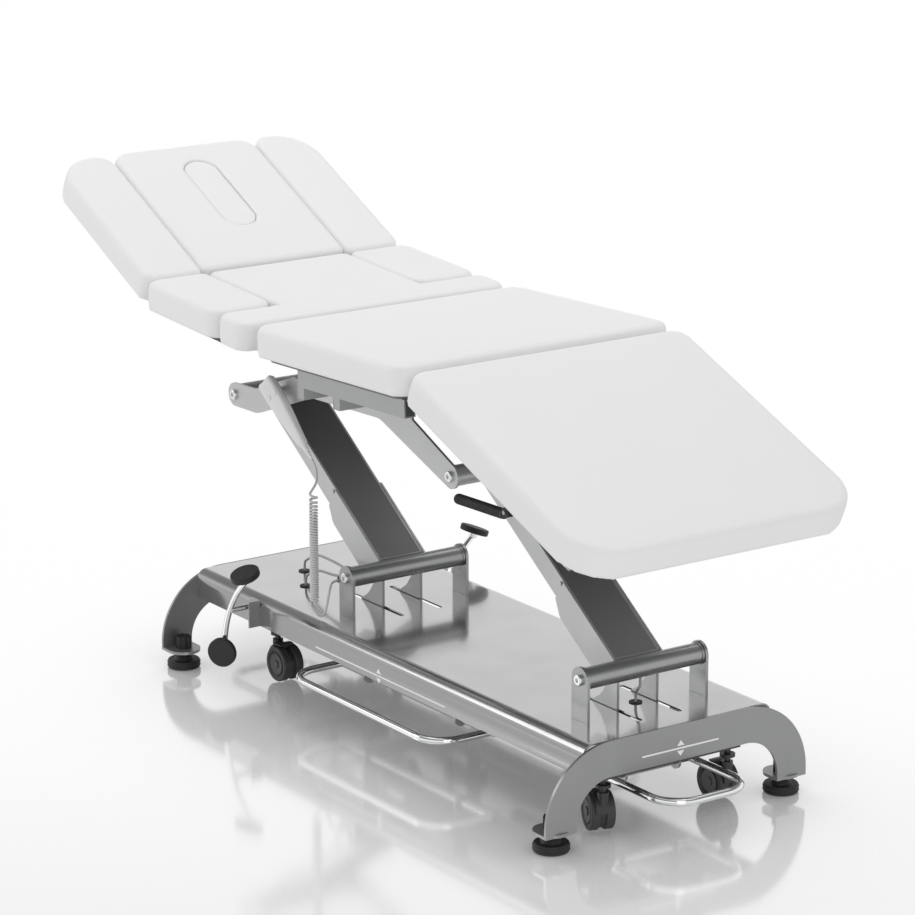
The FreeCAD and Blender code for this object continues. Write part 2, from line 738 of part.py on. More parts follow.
def head_side_pad():
    inner = head_centre_half + pad_seam
    corners = (head_pad_width * 2 / 7, 14, 26, head_corner)
    slab = rounded_plan(0, head_length + 6, inner, head_half, -pad_thickness, 0, corners)
    return placed(soften(slab, edge_round, 0), head_edge, head_pitch)


def head_board():
    half = head_centre_half - 18
    slab = rounded_plan(30, head_length - 10, -half, half, -pad_thickness - board, -pad_thickness, (40, 10, 10, 40))
    return placed(slab.cut(face_slot(slot_half, board + 1)), head_edge, head_pitch)


def head_frame():
    """Two bars under the head board that run down to the hinge."""
    low = -pad_thickness - board
    x, z = head_hinge
    outline = [in_section(head_edge, head_pitch, 60, low), in_section(head_edge, head_pitch, head_length - 30, low),
               (x + 2, z + hinge_eye_radius - 1), (x - 3, z - hinge_eye_radius + 1),
               in_section(head_edge, head_pitch, 60, low - 26)]
    return hinge_leaf(outline, head_hinge, hinge_y, hinge_y + hinge_sheet)


def side_pad_hinges():
    """Fixed pins and moving bars of one head side pad."""
    y = head_centre_half + pad_seam / 2
    return fold_hinge([(100, 150), (310, 360)], y, head_centre_half - 70, head_half - 40, head_edge, head_pitch)


def back_frame():
    """Bars under the back board, with the eyes of the head hinge and the back hinge."""
    low = -pad_thickness - board
    y0, y1 = inner_leaf()
    x, z = head_hinge
    outline = [in_section(back_edge, back_pitch, 24, low), in_section(back_edge, back_pitch, back_length - 60, low),
               in_section(back_edge, back_pitch, back_length - 90, low - 22), (x + 30, z - 30),
               (x, z - hinge_eye_radius), (x - 5, z + hinge_eye_radius - 3)]
    bars = hinge_leaf(outline, head_hinge, y0, y1)
    return bars + gap_leaf(back_edge, back_pitch, back_length - 23, back_length - 100,
                           hinge_y, hinge_y + hinge_sheet)


def hinge_pins(place):
    """Short pins with heads through the leaves of a section hinge."""
    x, z = place
    y0, y1 = hinge_y - hinge_sheet - clear - 2, hinge_y + hinge_sheet + 2
    pin = rod((x, y0, z), (x, y1, z), hinge_pin_radius)
    caps = [rod((x, y0 - 3, z), (x, y0, z), hinge_pin_radius + 3), rod((x, y1, z), (x, y1 + 3, z), hinge_pin_radius + 3)]
    return both_sides(pin.fuse(caps))


def leg_frame():
    """Angle rails under the leg cushion's sides, cross bars, and the hinge leaves."""
    low = -pad_thickness - board
    y1 = leg_rail_outer()
    y0 = y1 - 24
    rail = block(26, 520, y0, y1, low - 4, low).fuse(block(26, 520, y1 - 4, y1, low - 30, low))
    parts = [placed(s, leg_edge, leg_pitch) for s in both_sides(rail.removeSplitter())]
    for s in (120.0, 430.0):
        cross = block(s, s + 30, -y0, y0, low - 18, low)
        parts.append(placed(cross.cut(block(s + 3, s + 27, -y0 - 1, y0 + 1, low - 15, low - 3)), leg_edge, leg_pitch))
    x, z = leg_hinge
    outline = [in_section(leg_edge, leg_pitch, 24, low), in_section(leg_edge, leg_pitch, 120, low),
               in_section(leg_edge, leg_pitch, 120, low - 16), (x + 4, z - hinge_eye_radius + 1),
               (x - 3, z + 4)]
    return parts + hinge_leaf(outline, leg_hinge, hinge_y, hinge_y + hinge_sheet)


def leg_rail_outer():
    return grip_y - grip_radius - 12


def release_lever():
    """The ribbed grip that frees the leg section's gas spring, on its steel rod."""
    (xa, za), (xb, zb) = grip_start, grip_end
    y = -grip_y
    grip = rod((xa, y, za), (xb, y, zb), grip_radius)
    grip = grip.makeFillet(4, [e for e in grip.Edges if isinstance(e.Curve, Part.Circle)])
    px, pz = release_pivot()
    steel = rod((xb, y, zb), (px, y, pz), 5)
    eye = rod((px, y - 7, pz), (px, y + 7, pz), 10)
    steel = steel.fuse(eye).cut(rod((px, y - 8, pz), (px, y + 8, pz), 4 + running_fit))
    return grip, steel.cut(grip)


def release_pivot():
    return in_section(leg_edge, leg_pitch, 345.0, -pad_thickness - board - 17)


def release_pin():
    px, pz = release_pivot()
    y = -grip_y
    return rod((px, y - 10, pz), (px, -leg_rail_outer(), pz), 4)


# Castors

def castor_names():
    return [(end, side) for end in ("foot", "head") for side in ("near", "far")]


def castor_place(end, side):
    x = castor_foot_x if end == "foot" else castor_head_x
    return x, castor_y * (-1 if side == "near" else 1)


def castor_parts(end, side):
    """Hooded twin-wheel castor: a swivelling hood on its stem, and the wheel pair."""
    x, y = castor_place(end, side)
    wx = x + castor_trail
    half = wheel_gap / 2
    hood = rod((wx, y - half + clear, wheel_z), (wx, y + half - clear, wheel_z), wheel_radius - 4)
    cover = rod((wx, y - half - wheel_width * 0.6, wheel_z), (wx, y + half + wheel_width * 0.6, wheel_z), wheel_radius + 5)
    cover = cover.cut(rod((wx, y - 99, wheel_z), (wx, y + 99, wheel_z), wheel_radius + 1.5))
    cover = cover.cut(block(wx - 99, wx + 99, y - 99, y + 99, -99, wheel_z + 6))
    cover = cover.cut(block(wx + 8, wx + 99, y - 99, y + 99, -99, 199))
    link = block(wx - 30, wx + 6, y - half + clear, y + half - clear, wheel_z + 20, wheel_z + wheel_radius + 4)
    neck = rod((x, y, wheel_z + 18), (x, y, wheel_z + wheel_radius + 8), 11)
    keep_out = [rod((wx, y + s * half, wheel_z), (wx, y + s * (half + wheel_width + 1), wheel_z), wheel_radius + 1.5)
                for s in (-1, 1)]
    stem = rod((x, y, wheel_z + wheel_radius + 8), (x, y, castor_bar_bottom + 12), 6)
    washer = rod((x, y, castor_bar_bottom - 17), (x, y, castor_bar_bottom - 11), 15)
    body = hood.fuse([cover, link, neck]).cut(keep_out).fuse([stem, washer])
    body = body.cut(rod((wx, y - 99, wheel_z), (wx, y + 99, wheel_z), axle_radius + running_fit)).removeSplitter()
    wheels = []
    for s in (-1, 1):
        wheel = rod((wx, y + s * half, wheel_z), (wx, y + s * (half + wheel_width), wheel_z), wheel_radius)
        wheel = wheel.makeFillet(4, [e for e in wheel.Edges if isinstance(e.Curve, Part.Circle)])
        dish = Part.makeCone(wheel_radius - 9, wheel_radius - 13, 4, Vector(wx, y + s * (half + wheel_width), wheel_z), Y * -s)
        wheels.append(wheel.cut(dish))
    axle = rod((wx, y - half - 2, wheel_z), (wx, y + half + 2, wheel_z), axle_radius)
    wheels = wheels[0].fuse([wheels[1], axle])
    for shape in (body, wheels):
        shape.rotate(Vector(x, y, 0), Z, castor_turn["%s_%s" % (end, side)])
    return body, wheels


def castor_bar(x):
    """The lifting cross bar of one castor pair, with its two guide posts."""
    span = castor_y + 22
    bar = block(x - castor_bar_half, x + castor_bar_half, -span, span, castor_bar_bottom, castor_bar_top)
    posts = [rod((x, s * guide_y, castor_bar_top), (x, s * guide_y, base_top - sheet - 2), guide_radius)
             for s in (-1, 1)]
    holes = [rod((x, s * castor_y, castor_bar_bottom - 1), (x, s * castor_y, castor_bar_bottom + 12 + clear),
                 6 + running_fit) for s in (-1, 1)]
    return bar.fuse(posts).cut(holes)


def castor_guides(x):
    guides = []
    for s in (-1, 1):
        low, high = castor_bar_top + 4, base_top - sheet
        guides.append(ring((x, s * guide_y, low), (x, s * guide_y, high), guide_radius + 5, guide_radius + running_fit))
    return guides


def castor_tie():
    """The rod that makes both cross bars rise and fall together."""
    z = (castor_bar_bottom + castor_bar_top) / 2
    return rod((castor_head_x + castor_bar_half, castor_tie_y, z),
               (castor_foot_x - castor_bar_half, castor_tie_y, z), 5)


def pad_facings():
    return [(pedal_top, Vector(0.03, 0.35, 0.93).normalize()), (pedal_low, Vector(0.55, 0.82, -0.05).normalize())]


def pedal_shape():
    """A cross shaft with a curved rod at each end, cams for the castor bar, pads apart."""
    shaft = rod((pedal_x, -pedal_y, pedal_z), (pedal_x, pedal_y, pedal_z), pedal_shaft)
    bosses, ends = [], []
    for (x, z), facing in pad_facings():
        face = Vector(x, pedal_y, z)
        bosses.append(Part.makeCylinder(pedal_rod + 3, pedal_boss, face - facing * pedal_boss, facing))
        ends.append(face - facing * pedal_boss * 0.7)
    edge = Part.Arc(ends[1], Vector(pedal_x - 3, pedal_y, pedal_z), ends[0]).toShape()
    circle = Part.Wire(Part.Circle(edge.Vertexes[0].Point, edge.tangentAt(edge.FirstParameter), pedal_rod).toShape())
    arc = Part.Wire([edge]).makePipeShell([circle], True, False)
    cams = stadium((pedal_x, pedal_z), (pedal_x + cam_tip[0], pedal_z + cam_tip[1]), 7.0, cam_y - 4, cam_y + 4)
    pedals = shaft.fuse(both_sides(arc.fuse(bosses)) + both_sides(cams))
    return pedals.cut(pedal_pads())


def pedal_pads():
    """Round pedal pads, the upper one facing up and the lower one facing out."""
    pads = []
    for (x, z), facing in pad_facings():
        pad = Part.makeCylinder(pedal_pad_radius, pedal_pad_height, Vector(x, pedal_y, z), facing)
        pads.append(pad.makeFillet(2.5, [e for e in pad.Edges if isinstance(e.Curve, Part.Circle)]))
    return [s for pad in pads for s in both_sides(pad)]


def pedal_plates():
    """The guide plates on the skirts that the pedal shaft runs through."""
    y0, y1 = skirt_half, skirt_half + 4
    back = block(pedal_x - 16, pedal_x + 16, y0, y1, skirt_bottom, pedal_z + 14)
    flange = block(pedal_x + 12, pedal_x + 16, y0, y0 + 26, skirt_bottom, pedal_z + 14)
    plate = back.fuse(flange).cut(rod((pedal_x, 0, pedal_z), (pedal_x, 400, pedal_z), pedal_shaft + running_fit))
    return both_sides(plate.removeSplitter())


# Foot bars

def side_bar():
    reach, root, half = side_bar_reach, side_bar_root, side_bar_half
    bar = u_bar([(-half, root, bar_z), (-half, reach, bar_z), (half, reach, bar_z), (half, root, bar_z)],
                bar_radius, bar_bend)
    pivot = rod((-half - 12, root, bar_z), (half + 12, root, bar_z), bar_radius)
    return bar.fuse(pivot)


def end_bar(side):
    xr, xo, half = side * end_bar_root, side * end_bar_reach, end_bar_half
    bar = u_bar([(xr, -half, bar_z), (xo, -half, bar_z), (xo, half, bar_z), (xr, half, bar_z)], bar_radius, bar_bend)
    return bar.fuse(rod((xr, -half - 12, bar_z), (xr, half + 12, bar_z), bar_radius))


def bar_hangers():
    """Plates under the top that carry the foot bars' pivots."""
    hangers = []
    top = base_top - sheet
    near_rail = pivot_head_x + bracket_rail_half
    for x in (near_rail + bar_hanger, -near_rail - bar_hanger):
        plate = block(x - bar_hanger / 2, x + bar_hanger / 2, side_bar_root - 16, side_bar_root + 16, bar_z, top)
        plate = plate.fuse(rod((x - bar_hanger / 2, side_bar_root, bar_z), (x + bar_hanger / 2, side_bar_root, bar_z), 16))
        plate = plate.cut(rod((x - 9, side_bar_root, bar_z), (x + 9, side_bar_root, bar_z), bar_radius + running_fit))
        hangers += both_sides(plate)
    for side in (-1, 1):
        x, y = side * end_bar_root, end_bar_half - 34
        plate = block(x - 16, x + 16, y - bar_hanger / 2, y + bar_hanger / 2, bar_z, top)
        plate = plate.fuse(rod((x, y - bar_hanger / 2, bar_z), (x, y + bar_hanger / 2, bar_z), 16))
        plate = plate.cut(rod((x, y - 9, bar_z), (x, y + 9, bar_z), bar_radius + running_fit))
        hangers += both_sides(plate)
    return hangers


# Hand control, its hook and cords

def control_frame():
    """The placement of the hand control: its length along local Z, its front along local -Y."""
    top, tip = Vector(*control_top), Vector(*control_tip)
    down = (tip - top).normalize()
    front = Vector(0.25, -1, 0.3)
    front = (front - down * front.dot(down)).normalize()
    side = down.cross(front)
    matrix = FreeCAD.Matrix(side.x, -front.x, down.x, top.x, side.y, -front.y, down.y, top.y,
                            side.z, -front.z, down.z, top.z, 0, 0, 0, 1)
    return Placement(matrix), (tip - top).Length


def hand_control():
    """A slim housing with two buttons and a strain relief."""
    place, length = control_frame()
    w, t = control_width / 2, control_depth / 2
    body = block(-w, w, -t, t, 0, length)
    body = body.makeFillet(7, [e for e in body.Edges if abs(e.tangentAt(e.FirstParameter).z) > 0.99])
    body = body.makeFillet(4, [e for e in body.Edges if all(abs(v.Z) < 0.01 for v in e.Vertexes)])
    wells = [rod((s * 9, -t - 1, 42), (s * 9, -t + 4.6, 42), 6.3) for s in (-1, 1)]
    buttons = [rod((s * 9, -t - 1.5, 42), (s * 9, -t + 2.7, 42), 6) for s in (-1, 1)]
    relief = Part.makeCone(7, 4, 34, Vector(0, 0, length))
    relief = relief.cut(Part.makeCylinder(cord_radius, 40, Vector(0, 0, length + 20)))
    shapes = [body.cut(wells), buttons[0], buttons[1], relief]
    for shape in shapes:
        shape.Placement = place
    return shapes


def control_hook():
    """The peg on the frame plate that the hand control hangs on."""
    peg = rod((0, control_depth / 2, 24), (0, control_depth / 2 + 60, 24), 5)
    peg = peg.fuse(rod((0, control_depth / 2, 24), (0, control_depth / 2 + 3, 24), 9))
    peg.Placement = control_frame()[0]
    face = plate_y + plate_sheet
    return peg.common(block(-2000, 2000, -999, -face, 0, 2000))


def relief_end():
    place, length = control_frame()
    return place.multVec(Vector(0, 0, length + 20)), place.multVec(Vector(0, 0, length + 48))


cord_upper = [(-288.0, -172.0, 487.0), (-262.0, -192.0, 480.0), (-249.0, -206.0, 475.0),
              (coil_x, coil_y, coil_top)]
cord_lower = [(coil_x, coil_y, coil_bottom), (coil_x, coil_y, 213.0), (-239.0, -199.0, 206.0),
              (-233.0, -190.0, 216.0), (-236.0, -181.0, 248.0), (-252.0, -165.0, 266.0),
              (clip_x, -153.0, clip_z), (clip_x, -clip_y - clip_width / 2, clip_z)]


def upper_cord():
    first, second = relief_end()
    start = (first.x, first.y, first.z)
    after = (second.x, second.y, second.z)
    return cord_tube([start, after] + cord_upper, cord_radius)


def lower_cord():
    return cord_tube(cord_lower, cord_radius)


def coil():
    return Part.makeCylinder(coil_radius, coil_top - coil_bottom, Vector(coil_x, coil_y, coil_bottom))


def cable_clip():
    """The clip on the near ear that holds the cord and the wires."""
    back = pivot_head_x - bracket_width / 2
    return block(clip_x - 6, back, -clip_y - clip_width / 2, -clip_y + clip_width / 2, clip_z - 6, clip_z + 6)


def pivot_wires():
    """Held loops of wire from the pivots into the base."""
    wires = []
    (x, y), z = grommet_places()[0], base_top
    below = pivot_z - tube_radius
    wires.append(cord_tube([(pivot_foot_x - 8, 6.0, below - 1), (pivot_foot_x - 6, 4.0, below - 22),
                            (pivot_foot_x - 8, 2.0, z + 34), (x, y, z + 20), (x, y, z - 1)], wire_radius))
    end = -clip_y + clip_width / 2
    for (x, y), lift, out in zip(grommet_places()[1:], (-14.0, 6.0), (-2.7, 2.7)):
        start_z = clip_z + out
        turn_x, turn_y = clip_x - 16, end + 34
        run = [(clip_x, end, start_z), (clip_x, end + 20, start_z), (turn_x, turn_y, start_z)]
        run += [(turn_x + (x - turn_x) * t, turn_y + (y - turn_y) * t, start_z + lift * (1 - t) - 20 * t)
                for t in (0.35, 0.75)]
        run += [(x, y, z + 22), (x, y, z - 1)]
        wires.append(cord_tube(run, wire_radius))
    return wires


def build():
    save("base_channel", channel())
    save("end_arch_head", arch(-1))
    save("end_arch_foot", arch(1))
    ears = [s for x in pivots.values() for s in pivot_brackets(x)]
    save("pivot_brackets", *ears, *bracket_rails())
    save("cable_grommets", *[grommet(*g) for g in grommet_places()], cable_clip())
    lift_guides = [s for x in (castor_head_x, castor_foot_x) for s in castor_guides(x)]
    save("base_fittings", *lift_guides, *bar_hangers(), *pedal_plates())
    for end, sign in (("head", -1), ("foot", 1)):
        for side, s in (("near", -1), ("far", 1)):
            save("levelling_foot_%s_%s" % (end, side),
                 levelling_foot(sign * (base_length / 2 - foot_inset), s * foot_y))
    ear_half = tube_half + clear + bracket_sheet
    save("lower_pivot_pins", *[pivot_pin(x, pivot_z, ear_half) for x in pivots.values()])
    for end, pivot_x in pivots.items():
        tube, top_tube, sides, stiffeners, webs = arm_parts(pivot_x)
        plates, pin = levers(pivot_x)
        save("lever_tube_%s" % end, tube, *plates, pin)
        save("arm_box_%s" % end, top_tube, *sides, *webs, *stiffeners)
    top_half = plate_y + plate_sheet
    save("upper_pivot_pins", *[pivot_pin(x + arm_dx, pivot_z + arm_dz, top_half) for x in pivots.values()])
    save("lift_actuator", actuator())
    save("drive_bar", drive_bar(), drive_arm())
    save("frame_plates", *frame_plates(), control_hook())
    save("frame_rails", *rails(), *frame_cross_tubes())
    save("seat_hinge_leaves", *seat_hinge_leaves(), *hinge_pins(leg_hinge), *hinge_pins(back_hinge))
    half = table_width / 2
    save("seat_cushion", cushion(seat_length, half, (45, 35, 35, 45), seat_edge, seat_pitch))
    save("seat_board", board_under(board_inset, seat_length - board_inset, half - board_inset, seat_edge, seat_pitch))
    save("leg_cushion", cushion(leg_length, half, (38, leg_corner, leg_corner, 38), leg_edge, leg_pitch))
    save("leg_board", board_under(board_inset, leg_length - board_inset, half - board_inset, leg_edge, leg_pitch, 90.0))
    save("leg_frame", *leg_frame(), release_pin())
    save("release_lever", *release_lever())
    save("back_cushion", back_cushion())
    back = board_under(board_inset, back_length - board_inset, centre_half - 12, back_edge, back_pitch)
    save("back_frame", back, *back_frame())
    arm_pins, arm_bars = armrest_hinges()
    pad_pins, pad_bars = side_pad_hinges()
    save("armrest_pins", *[s for p in arm_pins for s in both_sides(p)])
    for side, flip in (("near", True), ("far", False)):
        for name, shapes in (("armrest_pad", [armrest_pad()]), ("armrest_bars", [armrest_bar()] + arm_bars),
                             ("head_side_pad", [head_side_pad()] + pad_bars)):
            save("%s_%s" % (name, side), *[mirror_y(p) if flip else p for p in shapes])
    save("head_cushion", head_cushion())
    save("face_plug", placed(face_slot(slot_half - clear, 0), head_edge, head_pitch))
    head_pins = [s for p in pad_pins for s in both_sides(p)]
    save("head_frame", head_board(), *head_frame(), *head_pins, *hinge_pins(head_hinge))
    save("castor_bars", castor_bar(castor_head_x), castor_bar(castor_foot_x), castor_tie())
    for end, side in castor_names():
        hood, wheels = castor_parts(end, side)
        save("castor_hood_%s_%s" % (end, side), hood)
        save("castor_wheels_%s_%s" % (end, side), wheels)
    save("castor_pedals", pedal_shape())
    save("pedal_pads", *pedal_pads())
    bar = side_bar()
    save("foot_bar_far", bar)
    save("foot_bar_near", mirror_y(bar))
    save("foot_bar_head", end_bar(-1))
    save("foot_bar_foot", end_bar(1))
    body, left, right, relief = hand_control()
    save("hand_control", body, relief)
    save("control_button_up", left)
    save("control_button_down", right)
    save("control_cord", upper_cord().fuse([coil(), lower_cord()]))
    save("pivot_wires", *pivot_wires())


build()
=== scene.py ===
import math

import bmesh
import bpy
import numpy as np
from mathutils import Matrix, Vector


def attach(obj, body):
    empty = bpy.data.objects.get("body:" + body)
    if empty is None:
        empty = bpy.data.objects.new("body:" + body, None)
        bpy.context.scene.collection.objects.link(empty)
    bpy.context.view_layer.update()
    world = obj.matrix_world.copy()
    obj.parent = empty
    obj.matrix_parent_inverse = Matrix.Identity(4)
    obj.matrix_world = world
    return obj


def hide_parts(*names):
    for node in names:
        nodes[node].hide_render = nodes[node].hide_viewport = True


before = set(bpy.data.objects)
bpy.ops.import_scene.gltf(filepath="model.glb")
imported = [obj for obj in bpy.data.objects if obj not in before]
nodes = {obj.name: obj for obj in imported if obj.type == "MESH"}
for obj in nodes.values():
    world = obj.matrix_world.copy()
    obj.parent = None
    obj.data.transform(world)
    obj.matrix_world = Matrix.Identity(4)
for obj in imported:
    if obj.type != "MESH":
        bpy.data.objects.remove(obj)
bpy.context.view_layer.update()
MM = 0.001
BASE_X = 143.6

# Tilted sections: top head-end edge (x, z) in mm from the base's middle, and pitch in degrees
SEAT = ((-291.0, 821.6), -2.2)
LEG = ((263.6, 839.0), 21.8)
BACK = ((-702.9, 839.8), 3.1)
HEAD = ((-1095.6, 1031.0), 26.0)

# Upholstery, in mm
HALF_WIDTH = 328.0
PAD = 60.0
SLOT_START, SLOT_END, SLOT_HALF = 62.0, 302.0, 42.0
SLOT_MIDDLE = (SLOT_START + SLOT_END) / 2

# Lift arms: lower pivots (x, z) and the reach to the upper ones, in mm
ARM_PIVOTS = {"head": (-227.0, 281.5), "foot": (567.4, 281.5)}
ARM_REACH = (-425.7, 298.1)

# Castors: their x by end, their y, how far the wheels trail, the axle's height and each fork's turn in degrees
CASTOR_X = {"head": -483.0, "foot": 649.0}
CASTOR_Y, CASTOR_TRAIL, CASTOR_AXLE = 149.0, 27.0, 40.0
CASTOR_TURN = {"foot_near": 160, "foot_far": 180, "head_near": 0, "head_far": 20}

# Hand control's ends and its coil, in mm
CONTROL_TOP, CONTROL_TIP = Vector((-482.0, -172.0, 650.0)), Vector((-352.0, -162.0, 536.0))
COIL_X, COIL_Y, COIL_TOP = -246.0, -209.0, 464.0
COIL_TURNS, COIL_RADIUS, COIL_STEPS = 39, 7.4, 8


def P(x, y, z):
    """A point in the row frame, in metres, from mm about the base's middle."""
    return Vector(((x + BASE_X) * MM, y * MM, z * MM))


def section_matrix(section):
    (x, z), pitch = section
    return Matrix.Translation(P(x, 0, z)) @ Matrix.Rotation(math.radians(pitch), 4, "Y")


# Materials

def material(name, colour, roughness, metallic=0.0, coat=0.0, specular=0.5):
    m = bpy.data.materials.new(name)
    m.use_nodes = True
    b = m.node_tree.nodes["Principled BSDF"]
    b.inputs["Base Color"].default_value = (*colour, 1)
    b.inputs["Roughness"].default_value = roughness
    b.inputs["Metallic"].default_value = metallic
    b.inputs["Coat Weight"].default_value = coat
    b.inputs["Coat Roughness"].default_value = 0.05
    b.inputs["Specular IOR Level"].default_value = specular
    return m


def bumped(m, scale, strength, distance):
    t = m.node_tree
    noise = t.nodes.new("ShaderNodeTexNoise")
    noise.inputs["Scale"].default_value = scale
    noise.inputs["Detail"].default_value = 3.0
    bump = t.nodes.new("ShaderNodeBump")
    bump.inputs["Strength"].default_value = strength
    bump.inputs["Distance"].default_value = distance
    coord = t.nodes.new("ShaderNodeTexCoord")
    t.links.new(coord.outputs["Object"], noise.inputs["Vector"])
    t.links.new(noise.outputs["Fac"], bump.inputs["Height"])
    t.links.new(bump.outputs["Normal"], t.nodes["Principled BSDF"].inputs["Normal"])
    return m


def varied(m, scale, low, high):
    """Roughness that wanders between two values, as a sprayed or handled surface has."""
    t = m.node_tree
    coord = t.nodes.new("ShaderNodeTexCoord")
    noise = t.nodes.new("ShaderNodeTexNoise")
    noise.inputs["Scale"].default_value = scale
    noise.inputs["Detail"].default_value = 4.0
    spread = t.nodes.new("ShaderNodeMapRange")
    spread.inputs["From Min"].default_value = 0.3
    spread.inputs["From Max"].default_value = 0.7
    spread.inputs["To Min"].default_value = low
    spread.inputs["To Max"].default_value = high
    t.links.new(coord.outputs["Object"], noise.inputs["Vector"])
    t.links.new(noise.outputs["Fac"], spread.inputs["Value"])
    t.links.new(spread.outputs["Result"], t.nodes["Principled BSDF"].inputs["Roughness"])
    return m


def surface(name, colour, roughness, grain=None, wander=None, **shader):
    """A material with fine bumps (scale, strength, distance) and wandering roughness (scale, low, high)."""
    m = material(name, colour, roughness, **shader)
    if grain:
        bumped(m, *grain)
    if wander:
        varied(m, *wander)
    return m


PAINT_GRAIN = (1400, 0.05, 0.0001)
STEEL_GRAIN = (1100, 0.08, 0.0002)
PLASTIC_GRAIN = (1500, 0.05, 0.0001)
SHEATH_GRAIN = (900, 0.06, 0.0001)
SILVER = surface("silver_paint", (0.34, 0.343, 0.347), 0.3, PAINT_GRAIN, (14, 0.26, 0.36),
                 metallic=0.8, coat=0.35)
SILVER_TOP = surface("silver_paint_base", (0.50, 0.503, 0.507), 0.2, None, (9, 0.12, 0.2),
                     metallic=0.85, coat=0.6)
# Painted shade: the end arches get a darker copy of the base's silver paint
SILVER_ARCH_SHADED = surface("silver_paint_ends_painted_shade", (0.30, 0.302, 0.306), 0.34, PAINT_GRAIN, (11, 0.3, 0.4),
                      metallic=0.7, coat=0.3)
ARM = surface("silver_paint_arms", (0.52, 0.523, 0.527), 0.4, PAINT_GRAIN, (12, 0.34, 0.44),
              metallic=0.6, coat=0.2)
PANEL = surface("arm_panel", (0.12, 0.12, 0.122), 0.5, STEEL_GRAIN, (8, 0.42, 0.56), metallic=0.3)
DARK = surface("dark_steel", (0.075, 0.075, 0.078), 0.45, STEEL_GRAIN, (16, 0.38, 0.5), metallic=0.4)
CHROME = surface("chrome", (0.78, 0.785, 0.79), 0.07, None, (10, 0.05, 0.09), metallic=1.0)
ZINC = surface("bright_zinc", (0.72, 0.725, 0.73), 0.2, None, (60, 0.16, 0.28), metallic=1.0)
VINYL = surface("white_vinyl", (0.86, 0.86, 0.862), 0.55, (520, 0.08, 0.0003), (7, 0.5, 0.62), specular=0.35)
BOARD = surface("board_edge", (0.16, 0.16, 0.162), 0.6, (300, 0.15, 0.0003))
RUBBER = surface("black_rubber", (0.022, 0.022, 0.023), 0.55, (700, 0.12, 0.0002), (30, 0.48, 0.62),
                 specular=0.4)
PLASTIC = surface("black_plastic", (0.028, 0.028, 0.029), 0.38, (1500, 0.06, 0.0001), (22, 0.32, 0.44))
TYRE = surface("castor_tread", (0.04, 0.04, 0.041), 0.5, (800, 0.1, 0.0002), (26, 0.42, 0.56))
HUB = surface("castor_hub", (0.07, 0.07, 0.073), 0.3, PLASTIC_GRAIN, (20, 0.24, 0.36))
LIGHT = surface("light_plastic", (0.84, 0.84, 0.842), 0.35, PLASTIC_GRAIN, (25, 0.3, 0.42))
GREY = surface("grey_plastic", (0.42, 0.42, 0.425), 0.4, PLASTIC_GRAIN, (25, 0.34, 0.46))
CORD = surface("cord_sheath", (0.62, 0.625, 0.63), 0.42, SHEATH_GRAIN, (30, 0.36, 0.5))
WIRE = surface("wire_sheath", (0.40, 0.40, 0.405), 0.45, SHEATH_GRAIN, (30, 0.4, 0.5))
MARK = surface("mark_paint", (0.93, 0.93, 0.93), 0.5, None, (40, 0.45, 0.6))


def painted_height_shade(m, low, high):
    """Painted shade: a colour that runs from the foot of a piece to its top."""
    t = m.node_tree
    coord = t.nodes.new("ShaderNodeTexCoord")
    split = t.nodes.new("ShaderNodeSeparateXYZ")
    spread = t.nodes.new("ShaderNodeMapRange")
    spread.inputs["To Min"].default_value = low
    spread.inputs["To Max"].default_value = high
    t.links.new(coord.outputs["Generated"], split.inputs[0])
    t.links.new(split.outputs["Z"], spread.inputs["Value"])
    t.links.new(spread.outputs["Result"], t.nodes["Principled BSDF"].inputs["Base Color"])
    return m


def painted_side_shade(m, side, top):
    """Painted shade: a colour for upright faces and another for faces that look up."""
    t = m.node_tree
    face = t.nodes.new("ShaderNodeNewGeometry")
    split = t.nodes.new("ShaderNodeSeparateXYZ")
    spread = t.nodes.new("ShaderNodeMapRange")
    spread.inputs["From Min"].default_value = 0.25
    spread.inputs["From Max"].default_value = 0.95
    spread.inputs["To Min"].default_value = side
    spread.inputs["To Max"].default_value = top
    t.links.new(face.outputs["Normal"], split.inputs[0])
    t.links.new(split.outputs["Z"], spread.inputs["Value"])
    t.links.new(spread.outputs["Result"], t.nodes["Principled BSDF"].inputs["Base Color"])
    return m


# Painted shade on the arm panels: lighter at the foot, darker at the top
painted_height_shade(PANEL, 0.23, 0.085)
# Painted shade on the base channel: its upright faces darker than the faces that look up
painted_side_shade(SILVER_TOP, 0.3, 0.5)


def paint(m, *names):
    for name in names:
        mesh = nodes[name].data
        mesh.materials.clear()
        mesh.materials.append(m)


ends = ("head", "foot")
sides = ("near", "far")
pairs = ["%s_%s" % (e, s) for e in ends for s in sides]
paint(SILVER_TOP, "base_channel")
paint(SILVER_ARCH_SHADED, "end_arch_head", "end_arch_foot")
paint(ARM, "arm_box_head", "arm_box_foot", "frame_plates")
paint(SILVER, "pivot_brackets", "lever_tube_head", "lever_tube_foot", "frame_rails", "leg_frame",
      "base_fittings")
paint(DARK, "seat_hinge_leaves", "back_frame", "head_frame", "armrest_pins", "armrest_bars_near",
      "armrest_bars_far", "castor_bars", "drive_bar")
paint(ZINC, "lower_pivot_pins", "upper_pivot_pins")
paint(CHROME, "foot_bar_far", "foot_bar_near", "foot_bar_head", "foot_bar_foot", "castor_pedals")
paint(BOARD, "seat_board", "leg_board")
paint(RUBBER, "cable_grommets", "pedal_pads", "release_lever", *["levelling_foot_" + p for p in pairs])
paint(PLASTIC, "lift_actuator", *["castor_hood_" + p for p in pairs])
paint(TYRE, *["castor_wheels_" + p for p in pairs])
paint(LIGHT, "hand_control", "control_button_up", "control_button_down")
paint(CORD, "control_cord")
paint(WIRE, "pivot_wires")
